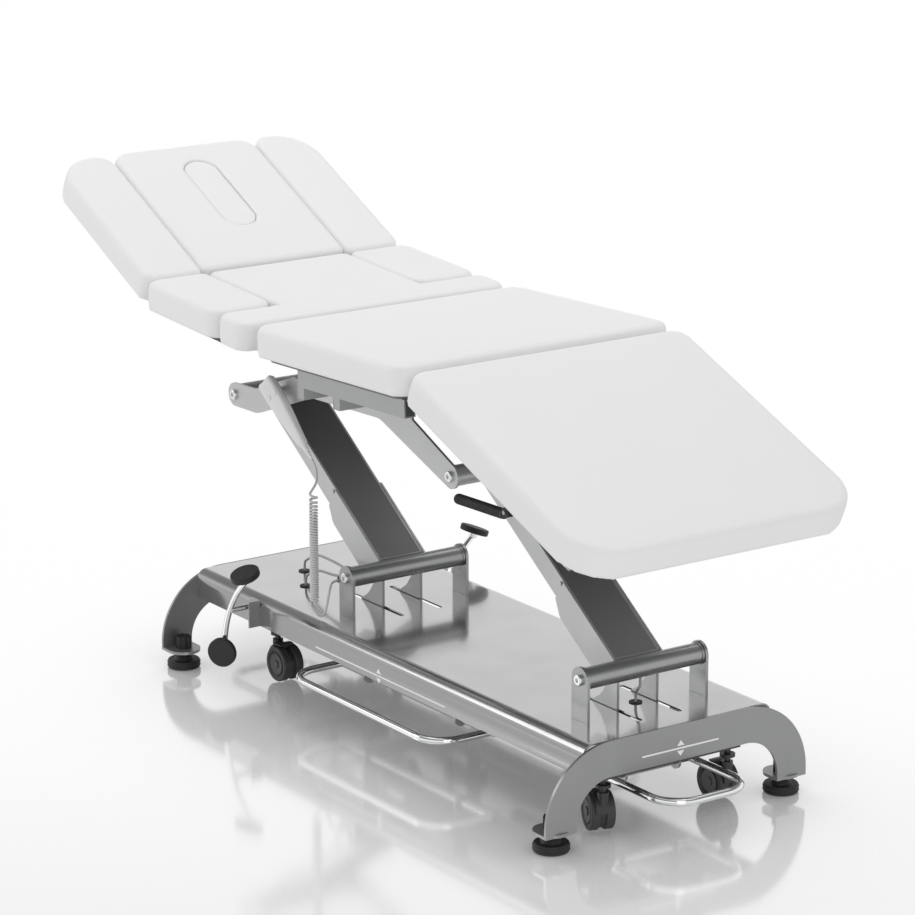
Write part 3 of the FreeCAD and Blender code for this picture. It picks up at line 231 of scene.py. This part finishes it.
paint(VINYL, "seat_cushion", "leg_cushion", "back_cushion", "armrest_pad_near", "armrest_pad_far",
      "head_side_pad_near", "head_side_pad_far", "head_cushion", "face_plug")


def smooth(obj, angle=38):
    for p in obj.data.polygons:
        p.use_smooth = True
    mod = obj.modifiers.new("by angle", "EDGE_SPLIT")
    mod.split_angle = math.radians(angle)
    return obj


for node in nodes.values():
    smooth(node)


# Pieces

def link(name, mesh, m):
    obj = bpy.data.objects.new(name, mesh)
    bpy.context.scene.collection.objects.link(obj)
    if not mesh.materials:
        mesh.materials.append(m)
    return obj


def from_bmesh(name, bm, m):
    mesh = bpy.data.meshes.new(name)
    bm.to_mesh(mesh)
    bm.free()
    return link(name, mesh, m)


def loft(bm, loops):
    """Side faces between loops of vertices, both ends closed. Returns each side face and its first edge."""
    sides_made = []
    for a, b in zip(loops, loops[1:]):
        for k in range(len(a)):
            n = (k + 1) % len(a)
            sides_made.append((bm.faces.new((a[k], a[n], b[n], b[k])), a[k], a[n]))
    bm.faces.new(loops[0][::-1])
    bm.faces.new(loops[-1])
    return sides_made


def tube_line(name, points, radius, m, cyclic=False):
    """A round line through points in the row frame, in metres."""
    curve = bpy.data.curves.new(name, "CURVE")
    curve.dimensions = "3D"
    curve.bevel_depth = radius
    curve.bevel_resolution = 4
    curve.resolution_u = 6
    curve.use_fill_caps = True
    spline = curve.splines.new("NURBS")
    spline.points.add(len(points) - 1)
    for p, place in zip(spline.points, points):
        p.co = (*place, 1)
    spline.order_u = 3
    spline.use_cyclic_u = cyclic
    spline.use_endpoint_u = not cyclic
    return link(name, curve, m)


def corner_points(x0, x1, y0, y1, corners, steps=10):
    """An outline with a radius at (x0,y0), (x1,y0), (x1,y1) and (x0,y1), in mm."""
    out = []
    places = [(x0, y0, 180), (x1, y0, 270), (x1, y1, 0), (x0, y1, 90)]
    for (x, y, start), r in zip(places, corners):
        cx = x + r if x == x0 else x - r
        cy = y + r if y == y0 else y - r
        for k in range(steps + 1):
            a = math.radians(start + 90 * k / steps)
            out.append((cx + r * math.cos(a), cy + r * math.sin(a)))
    return out


# Cushions: each is its own stuffed form, crowned on top and a little full at its sides

def distance_inside(points, outline):
    """Distance of 2-D points from a closed outline."""
    a = np.array(outline)
    b = np.roll(a, -1, axis=0)
    best = np.full(len(points), 1e9)
    for p, q in zip(a, b):
        d = q - p
        length = float(d.dot(d))
        if length < 1e-9:
            continue
        t = np.clip(((points - p) @ d) / length, 0, 1)
        near = p + t[:, None] * d
        best = np.minimum(best, np.linalg.norm(points - near, axis=1))
    return best


def bake(obj):
    """Replace an object's mesh by the one its modifiers make."""
    depsgraph = bpy.context.evaluated_depsgraph_get()
    mesh = bpy.data.meshes.new_from_object(obj.evaluated_get(depsgraph))
    obj.modifiers.clear()
    obj.data = mesh
    return mesh


def round_slot(obj, radius, operation):
    """Cut the breathing slot, or the plug's side, to a true round-ended outline."""
    start, end = SLOT_START + SLOT_HALF - radius, SLOT_END - SLOT_HALF + radius
    outline = corner_points(start, end, -radius, radius, (radius,) * 4, steps=24)
    bm = bmesh.new()
    low = [bm.verts.new((x * MM, y * MM, -1.5 * PAD * MM)) for x, y in outline]
    high = [bm.verts.new((x * MM, y * MM, 0.5 * PAD * MM)) for x, y in outline]
    bmesh.ops.remove_doubles(bm, verts=bm.verts, dist=1e-6)
    loft(bm, [[v for v in low if v.is_valid], [v for v in high if v.is_valid]])
    bmesh.ops.recalc_face_normals(bm, faces=bm.faces)
    cutter = from_bmesh("slot_cutter", bm, VINYL)
    if operation == "INTERSECT":
        middle = Matrix.Translation((SLOT_MIDDLE * MM, 0, 0))
        obj.data.transform(middle @ Matrix.Diagonal((1.03, 1.06, 1, 1)) @ middle.inverted())
    mod = obj.modifiers.new("slot", "BOOLEAN")
    mod.operation = operation
    mod.solver = "EXACT"
    mod.object = cutter
    bake(obj)
    bpy.data.objects.remove(cutter)


def stuffed(name, node, body, section, outline, crown, settle=0.0, hollow=None, slot=None):
    """A cushion grown from its plain solid: finer, rounder, crowned on top and full at its sides."""
    matrix = section_matrix(section)
    obj = link(name, nodes[node].data.copy(), VINYL)
    obj.modifiers.clear()
    obj.data.transform(matrix.inverted())
    if slot:
        round_slot(obj, *slot)
    mod = obj.modifiers.new("remesh", "REMESH")
    mod.mode = "VOXEL"
    mod.voxel_size = 0.0035 if slot else 0.005
    mod.use_smooth_shade = True
    rounding = obj.modifiers.new("round", "SMOOTH")
    rounding.factor = 0.5
    rounding.iterations = 3
    mesh = bake(obj)
    mesh.materials.clear()
    mesh.materials.append(VINYL)
    co = np.empty(len(mesh.vertices) * 3)
    mesh.vertices.foreach_get("co", co)
    co = co.reshape(-1, 3) / MM
    edge = distance_inside(co[:, :2], outline)
    rise = 1 - np.exp(-edge / 42.0)
    if hollow is not None:
        rise *= 1 - 0.6 * np.exp(-distance_inside(co[:, :2], hollow) / 4.0)
    height = np.clip((co[:, 2] + PAD) / PAD, 0, 1)
    lift = crown * rise * np.clip(height * 2 - 1, 0, 1)
    wave = np.sin(co[:, 0] / 61.0 + co[:, 1] / 83.0) * np.sin(co[:, 0] / 97.0 - co[:, 1] / 49.0)
    lift += settle * wave * rise * (height > 0.9)
    co[:, 2] += lift
    centre = (co[:, :2].min(axis=0) + co[:, :2].max(axis=0)) / 2
    near_side = np.exp(-edge / 7.0) * np.sin(np.pi * height)
    out = co[:, :2] - centre
    out /= np.maximum(np.linalg.norm(out, axis=1), 1)[:, None]
    co[:, :2] += out * (near_side * 1.1)[:, None]
    mesh.vertices.foreach_set("co", (co * MM).ravel())
    mesh.transform(matrix)
    mesh.update()
    for p in mesh.polygons:
        p.use_smooth = True
    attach(obj, body)
    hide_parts(node)


seat_outline = corner_points(0, 527, -HALF_WIDTH, HALF_WIDTH, (45, 35, 35, 45))
leg_outline = corner_points(0, 614, -HALF_WIDTH, HALF_WIDTH, (38, 100, 100, 38))
head_outline = corner_points(0, 430, -179, 179, (44, 14, 14, 44))
slot_outline = corner_points(SLOT_START, SLOT_END, -SLOT_HALF, SLOT_HALF, (SLOT_HALF,) * 4, steps=24)
back_low = corner_points(286, 385, -HALF_WIDTH, HALF_WIDTH, (26, 34, 34, 26))
back_outline = [(0, -160), (14, -174), (286, -174)] + back_low + [(286, 174), (14, 174), (0, 160)]
stuffed("seat_pad", "seat_cushion", "upper_frame", SEAT, seat_outline, 4.0, 0.5)
stuffed("leg_pad", "leg_cushion", "leg", LEG, leg_outline, 4.5, 0.6)
stuffed("back_pad", "back_cushion", "back", BACK, back_outline, 3.0, 0.4)
stuffed("head_pad", "head_cushion", "head", HEAD, head_outline, 3.5, 0.4, slot_outline, (41.95, "DIFFERENCE"))
stuffed("face_plug_pad", "face_plug", "face_plug", HEAD, slot_outline, 2.4, slot=(41.3, "INTERSECT"))
armrest_outline = corner_points(0, 276, 179, HALF_WIDTH, (16, 40, 34, 30))
wing_outline = corner_points(0, 436, 180.2, 319, (40, 14, 26, 92))
for side, sign in (("near", -1), ("far", 1)):
    outline = [(x, sign * y) for x, y in armrest_outline]
    stuffed("armrest_" + side, "armrest_pad_" + side, "armrest_" + side, BACK, outline, 3.0, 0.3)
for side, sign in (("near", -1), ("far", 1)):
    outline = [(x, sign * y) for x, y in wing_outline]
    stuffed("head_wing_" + side, "head_side_pad_" + side, "head_pad_" + side, HEAD, outline, 3.0, 0.3)


# Arm panels: the dark webs between the arms' side plates

def along_arm(pivot, along, above, y):
    length = math.hypot(*ARM_REACH)
    ux, uz = ARM_REACH[0] / length, ARM_REACH[1] / length
    return P(pivot[0] + along * ux + above * uz, y, pivot[1] + along * uz - above * ux)


for end, pivot in ARM_PIVOTS.items():
    bm = bmesh.new()
    corners = ((24, -49), (24, 49), (496, 49), (496, -49))
    loft(bm, [[bm.verts.new(along_arm(pivot, s, above, y)) for s, y in corners] for above in (9.6, 10.1)])
    bmesh.ops.recalc_face_normals(bm, faces=bm.faces)
    panel = from_bmesh("arm_panel_" + end, bm, PANEL)
    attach(panel, "arm_" + end)

# Weld beads where the arm meets its tube
for end, (pivot_x, pivot_z) in ARM_PIVOTS.items():
    bead = []
    for k in range(25):
        y = -54 + 108 * k / 24
        bead.append(P(pivot_x - 11 + 0.7 * math.sin(k * 2.4), y, pivot_z + 19.8 + 0.5 * math.cos(k * 3.1)))
    line = tube_line("weld_" + end, bead, 0.0016, SILVER)
    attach(line, "arm_" + end)


# End caps of the cross tubes, and dark blocks on the rails' ends as painted shade of their end faces

def plug(name, x, y, z, m):
    """A block in the seat's section between pairs of limits in mm."""
    bm = bmesh.new()
    cube = bmesh.ops.create_cube(bm, size=1)
    shape = Matrix.Translation([sum(pair) / 2 * MM for pair in (x, y, z)])
    shape = shape @ Matrix.Diagonal([abs(pair[1] - pair[0]) * MM for pair in (x, y, z)] + [1])
    bmesh.ops.transform(bm, matrix=section_matrix(SEAT) @ shape, verts=cube["verts"])
    obj = from_bmesh(name, bm, m)
    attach(obj, "upper_frame")


for side, sign in (("near", -1), ("far", 1)):
    for s in (140, 268):
        plug("tube_cap_" + side, (s - 8.9, s + 8.9), (sign * 296, sign * 299.7), (-126.9, -109.1),
             SILVER)
    # Painted shade: a dark block over each rail's end face, which faces away from the light
    plug("rail_end_painted_shade_" + side, (499, 504.2), (sign * 278.1, sign * 296.9), (-102.9, -73.1), DARK)


# Marks: a thin line and two small arrows

def mark(name, origin, along, up, out, length):
    """A thin line with an arrow above and one below its middle, just proud of the paint."""
    bm = bmesh.new()
    reach, half = length / 2, 0.0016
    shapes = [[(-reach, -half), (reach, -half), (reach, half), (-reach, half)]]
    shapes += [[(-0.0085, s * 0.005), (0.0085, s * 0.005), (0, s * 0.0155)] for s in (-1, 1)]
    for shape in shapes:
        loft(bm, [[bm.verts.new(origin + along * a + up * b + out * proud) for a, b in shape]
                  for proud in (0.00005, 0.0003)])
    bmesh.ops.recalc_face_normals(bm, faces=bm.faces)
    obj = from_bmesh(name, bm, MARK)
    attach(obj, "base")


X, Y, Z = Vector((1, 0, 0)), Vector((0, 1, 0)), Vector((0, 0, 1))
mark("mark_near", P(12, -225, 152), X, Z, -Y, 0.46)
mark("mark_far", P(12, 225, 152), -X, Z, Y, 0.46)
mark("mark_foot", P(690, 2, 153), Y, Z, X, 0.182)
mark("mark_head", P(-690, 2, 153), -Y, Z, -X, 0.182)

# Ribs of the release lever's grip

def disc(bm, place, turn, segments, radius, depth):
    made = bmesh.ops.create_cone(bm, cap_ends=True, segments=segments, radius1=radius, radius2=radius,
                                 depth=depth)
    bmesh.ops.transform(bm, matrix=Matrix.Translation(place) @ turn, verts=made["verts"])


grip_a, grip_b = P(390, -300, 619), P(545, -300, 624)
direction = (grip_b - grip_a).normalized()
turn = direction.to_track_quat("Z", "Y").to_matrix().to_4x4()
bm = bmesh.new()
for k in range(26):
    disc(bm, grip_a + direction * (0.008 + k * 0.0054), turn, 28, 0.0103, 0.0026)
ribs = smooth(from_bmesh("grip_ribs", bm, RUBBER))
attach(ribs, "release_lever")

# Grooved rims of the levelling feet
for end, x in (("head", -659), ("foot", 659)):
    for side, y in (("near", -275.5), ("far", 275.5)):
        for z in (5.5, 12.5):
            turns = [math.tau * k / 24 for k in range(24)]
            points = [P(x + 34.2 * math.cos(a), y + 34.2 * math.sin(a), z) for a in turns]
            line = tube_line("foot_rib", points, 0.0016, RUBBER, cyclic=True)
            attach(line, "foot_%s_%s" % (end, side))


# Castor hubs
for end in ("foot", "head"):
    for side, sign in (("near", -1), ("far", 1)):
        angle = math.radians(CASTOR_TURN[end + "_" + side])
        centre = P(CASTOR_X[end] + CASTOR_TRAIL * math.cos(angle),
                   sign * CASTOR_Y + CASTOR_TRAIL * math.sin(angle), CASTOR_AXLE)
        axle = Vector((-math.sin(angle), math.cos(angle), 0))
        turn = axle.to_track_quat("Z", "Y").to_matrix().to_4x4()
        bm = bmesh.new()
        for s in (-1, 1):
            disc(bm, centre + axle * s * 0.0215, turn, 32, 0.0225, 0.003)
            disc(bm, centre + axle * s * 0.0225, turn, 24, 0.009, 0.005)
        hub = smooth(from_bmesh("castor_hub", bm, HUB))
        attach(hub, "wheels_%s_%s" % (end, side))

# The control's cord: a plain lead, a tight coil and a plain tail, one piece of cord
down = (CONTROL_TIP - CONTROL_TOP).normalized()
control_length = (CONTROL_TIP - CONTROL_TOP).length
route = [CONTROL_TOP + down * (control_length + 20), CONTROL_TOP + down * (control_length + 48),
         (-288.0, -172.0, 487.0), (-262.0, -192.0, 480.0)]
for k in range(COIL_TURNS * COIL_STEPS + 1):
    t = k / (COIL_TURNS * COIL_STEPS)
    a = math.tau * COIL_TURNS * t + 3.49
    slack = 20 * (1 - math.exp(-7 * t)) + 8 * (1 - math.exp(-60 * t)) + 4 * math.exp(-60 * (1 - t))
    route.append((COIL_X + COIL_RADIUS * math.cos(a), COIL_Y + COIL_RADIUS * math.sin(a),
                  COIL_TOP + 4 - 200 * t - slack))
route += [(COIL_X - 2.5, COIL_Y - 7.5, 232.0), (COIL_X + 3.0, COIL_Y - 7.0, 226.0),
          (COIL_X + 6.5, COIL_Y - 2.5, 218.0), (COIL_X + 7.5, COIL_Y + 4.0, 210.0),
          (-237.0, -197.0, 206.5), (-233.0, -190.0, 216.0), (-236.0, -181.0, 248.0),
          (-252.0, -165.0, 266.0), (-260.0, -153.0, 268.0), (-260.0, -140.0, 268.0)]
points = [P(*p) for p in route]
cord = tube_line("coiled_cord", points, 0.0025, CORD)
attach(cord, "base")
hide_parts("control_cord")

# The hand control: a slim tapered housing of two shells, notched at the top, with its strap and strain relief
front = Vector((0.25, -1, 0.3))
front = (front - down * front.dot(down)).normalized()
across = down.cross(front)


def in_control(x, y, z):
    """A point of the hand control: across, towards its back and along it, in mm."""
    return P(*(CONTROL_TOP + across * x - front * y + down * z))


# Each ring of the housing: its place, half its width, half its depth, corner radius and notch, in mm
HOUSING = ((0, 13, 7, 6, 7), (1.2, 16.5, 9.6, 7, 7), (5, 18.6, 11.4, 7, 6), (12, 19.4, 12, 7, 3),
           (42, 19.4, 12, 7, 0), (70, 18.4, 12, 7, 0), (100, 16, 11.4, 7, 0), (130, 13, 10.4, 6.5, 0),
           (155, 10.6, 9.4, 6, 0), (166, 9.6, 8.8, 6, 0), (171, 8.2, 7.6, 6, 0), (174.5, 6, 6, 5, 0))
# Each ring of the strain relief: its radius and its place along the control, in mm
RELIEF = ((5.6, 178), (6.2, 180), (5.2, 182), (5.8, 184), (4.8, 186), (5.4, 188), (4.5, 190), (5.0, 192),
          (4.2, 194), (4.6, 197), (3.6, 200), (3.2, 207))
rings = []
for along, wide, deep, corner, notch in HOUSING:
    along = min(along, control_length + 1)
    outline = corner_points(-wide, wide, -deep, deep, (corner,) * 4, steps=6)
    rings.append([in_control(x, y, along + notch * (1 - min(1, abs(x) / wide))) for x, y in outline])
count = len(rings[0])
turns = [math.radians(180 + 360 * (k + 0.5) / count) for k in range(count)]
for radius, along in RELIEF:
    rings.append([in_control(radius * math.cos(a), radius * math.sin(a), along) for a in turns])
bm = bmesh.new()
for face, first, second in loft(bm, [[bm.verts.new(p) for p in ring] for ring in rings]):
    middle = (first.co + second.co) / 2 - P(*CONTROL_TOP)
    face.material_index = 1 if middle.dot(-front) > 0.002 else 0
bmesh.ops.recalc_face_normals(bm, faces=bm.faces)
housing = from_bmesh("control_housing", bm, LIGHT)
housing.data.materials.append(GREY)
smooth(housing, 34)
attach(housing, "upper_frame")
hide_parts("hand_control")

strap_way = [in_control(*p) for p in ((19, 2, 30), (24, 8, 26), (26, 20, 22), (24, 34, 20), (18, 44, 22))]
strap_section = [down * a * 0.0045 + across * b * 0.0007 for a, b in ((1, 1), (-1, 1), (-1, -1), (1, -1))]
bm = bmesh.new()
loft(bm, [[bm.verts.new(p + offset) for offset in strap_section] for p in strap_way])
bmesh.ops.recalc_face_normals(bm, faces=bm.faces)
strap = smooth(from_bmesh("control_strap", bm, LIGHT))
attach(strap, "upper_frame")

# Camera
camera_data = bpy.data.cameras.new("camera")
camera = bpy.data.objects.new("camera", camera_data)
bpy.context.scene.collection.objects.link(camera)
azimuth, elevation = math.radians(54.986), math.radians(15.170)
level = math.cos(elevation)
back = Vector((math.sin(azimuth) * level, -math.cos(azimuth) * level, math.sin(elevation)))
camera.location = P(-589.85, 387.60, 373.0) + back * 8.1375
camera.rotation_euler = back.to_track_quat("Z", "Y").to_euler()
camera_data.lens = 146.233
camera_data.sensor_width = 36
camera_data.clip_end = 100
bpy.context.scene.camera = camera

# Light

def node(tree, kind, **values):
    made = tree.nodes.new(kind)
    for key, value in values.items():
        made.inputs[key.replace("_", " ")].default_value = value
    return made


world = bpy.data.worlds.new("world")
bpy.context.scene.world = world
world.use_nodes = True
tree = world.node_tree
tree.nodes.clear()
output = tree.nodes.new("ShaderNodeOutputWorld")
path = tree.nodes.new("ShaderNodeLightPath")
seen = node(tree, "ShaderNodeBackground", Color=(1, 1, 1, 1))
soft = node(tree, "ShaderNodeBackground", Color=(1, 1, 1, 1), Strength=0.62)
mirrored = node(tree, "ShaderNodeBackground", Strength=1.0)
coord = tree.nodes.new("ShaderNodeTexCoord")
split = tree.nodes.new("ShaderNodeSeparateXYZ")
height = tree.nodes.new("ShaderNodeMath")
height.operation = "MULTIPLY_ADD"
height.inputs[1].default_value = 0.5
height.inputs[2].default_value = 0.5
ramp = tree.nodes.new("ShaderNodeValToRGB")
ramp.color_ramp.elements[0].position = 0.66
ramp.color_ramp.elements[0].color = (1, 1, 1, 1)
ramp.color_ramp.elements[1].position = 1.0
ramp.color_ramp.elements[1].color = (0.95, 0.95, 0.95, 1)
for place, shade in ((0.74, 0.30), (0.86, 0.22), (0.93, 0.80)):
    ramp.color_ramp.elements.new(place).color = (shade, shade, shade, 1)
gloss_mix = tree.nodes.new("ShaderNodeMixShader")
camera_mix = tree.nodes.new("ShaderNodeMixShader")
for a, b in (
    (coord.outputs["Generated"], split.inputs[0]),
    (split.outputs["Z"], height.inputs[0]),
    (height.outputs[0], ramp.inputs[0]),
    (ramp.outputs[0], mirrored.inputs["Color"]),
    (path.outputs["Is Glossy Ray"], gloss_mix.inputs[0]),
    (soft.outputs[0], gloss_mix.inputs[1]),
    (mirrored.outputs[0], gloss_mix.inputs[2]),
    (path.outputs["Is Camera Ray"], camera_mix.inputs[0]),
    (gloss_mix.outputs[0], camera_mix.inputs[1]),
    (seen.outputs[0], camera_mix.inputs[2]),
    (camera_mix.outputs[0], output.inputs[0]),
):
    tree.links.new(a, b)


def area(name, place, aim, size, power):
    data = bpy.data.lights.new(name, "AREA")
    data.size = size
    data.energy = power
    lamp = bpy.data.objects.new(name, data)
    lamp.location = place
    lamp.rotation_euler = (Vector(place) - Vector(aim)).to_track_quat("Z", "Y").to_euler()
    bpy.context.scene.collection.objects.link(lamp)


area("top", (-0.6, 0.8, 4.2), (0, 0, 0.5), 3.4, 48)
area("near_left", (-2.8, -3.0, 2.4), (0, 0, 0.5), 2.0, 26)
area("foot", (4.0, -1.4, 2.0), (0, 0, 0.5), 1.6, 16)

# Floor: white to the camera, darker where the table shades it, with a faint reflection
floor_mesh = bpy.data.meshes.new("floor")
floor_mesh.from_pydata([(-60, -60, 0), (60, -60, 0), (60, 60, 0), (-60, 60, 0)], [], [(0, 1, 2, 3)])
FLOOR = bpy.data.materials.new("floor")
FLOOR.use_nodes = True
ft = FLOOR.node_tree
ft.nodes.clear()
floor_out = ft.nodes.new("ShaderNodeOutputMaterial")
sheen = ft.nodes.new("ShaderNodeMixShader")
sheen.inputs[0].default_value = 0.42
gloss = node(ft, "ShaderNodeBsdfGlossy", Roughness=0.1, Color=(1, 1, 1, 1))
shade = node(ft, "ShaderNodeAmbientOcclusion", Distance=0.55, Color=(1, 1, 1, 1))
shade.samples = 8
curve = ft.nodes.new("ShaderNodeMapRange")
curve.inputs["From Min"].default_value = 0.35
curve.inputs["From Max"].default_value = 1.0
curve.inputs["To Min"].default_value = 0.34
curve.inputs["To Max"].default_value = 1.0
white = node(ft, "ShaderNodeEmission", Color=(1, 1, 1, 1))
ft.links.new(shade.outputs["AO"], curve.inputs["Value"])
ft.links.new(curve.outputs["Result"], white.inputs["Strength"])
ft.links.new(white.outputs[0], sheen.inputs[1])
ft.links.new(gloss.outputs[0], sheen.inputs[2])
ft.links.new(sheen.outputs[0], floor_out.inputs["Surface"])
floor = link("floor", floor_mesh, FLOOR)
floor.location.z = -0.0005

bpy.context.scene.view_settings.view_transform = "Standard"
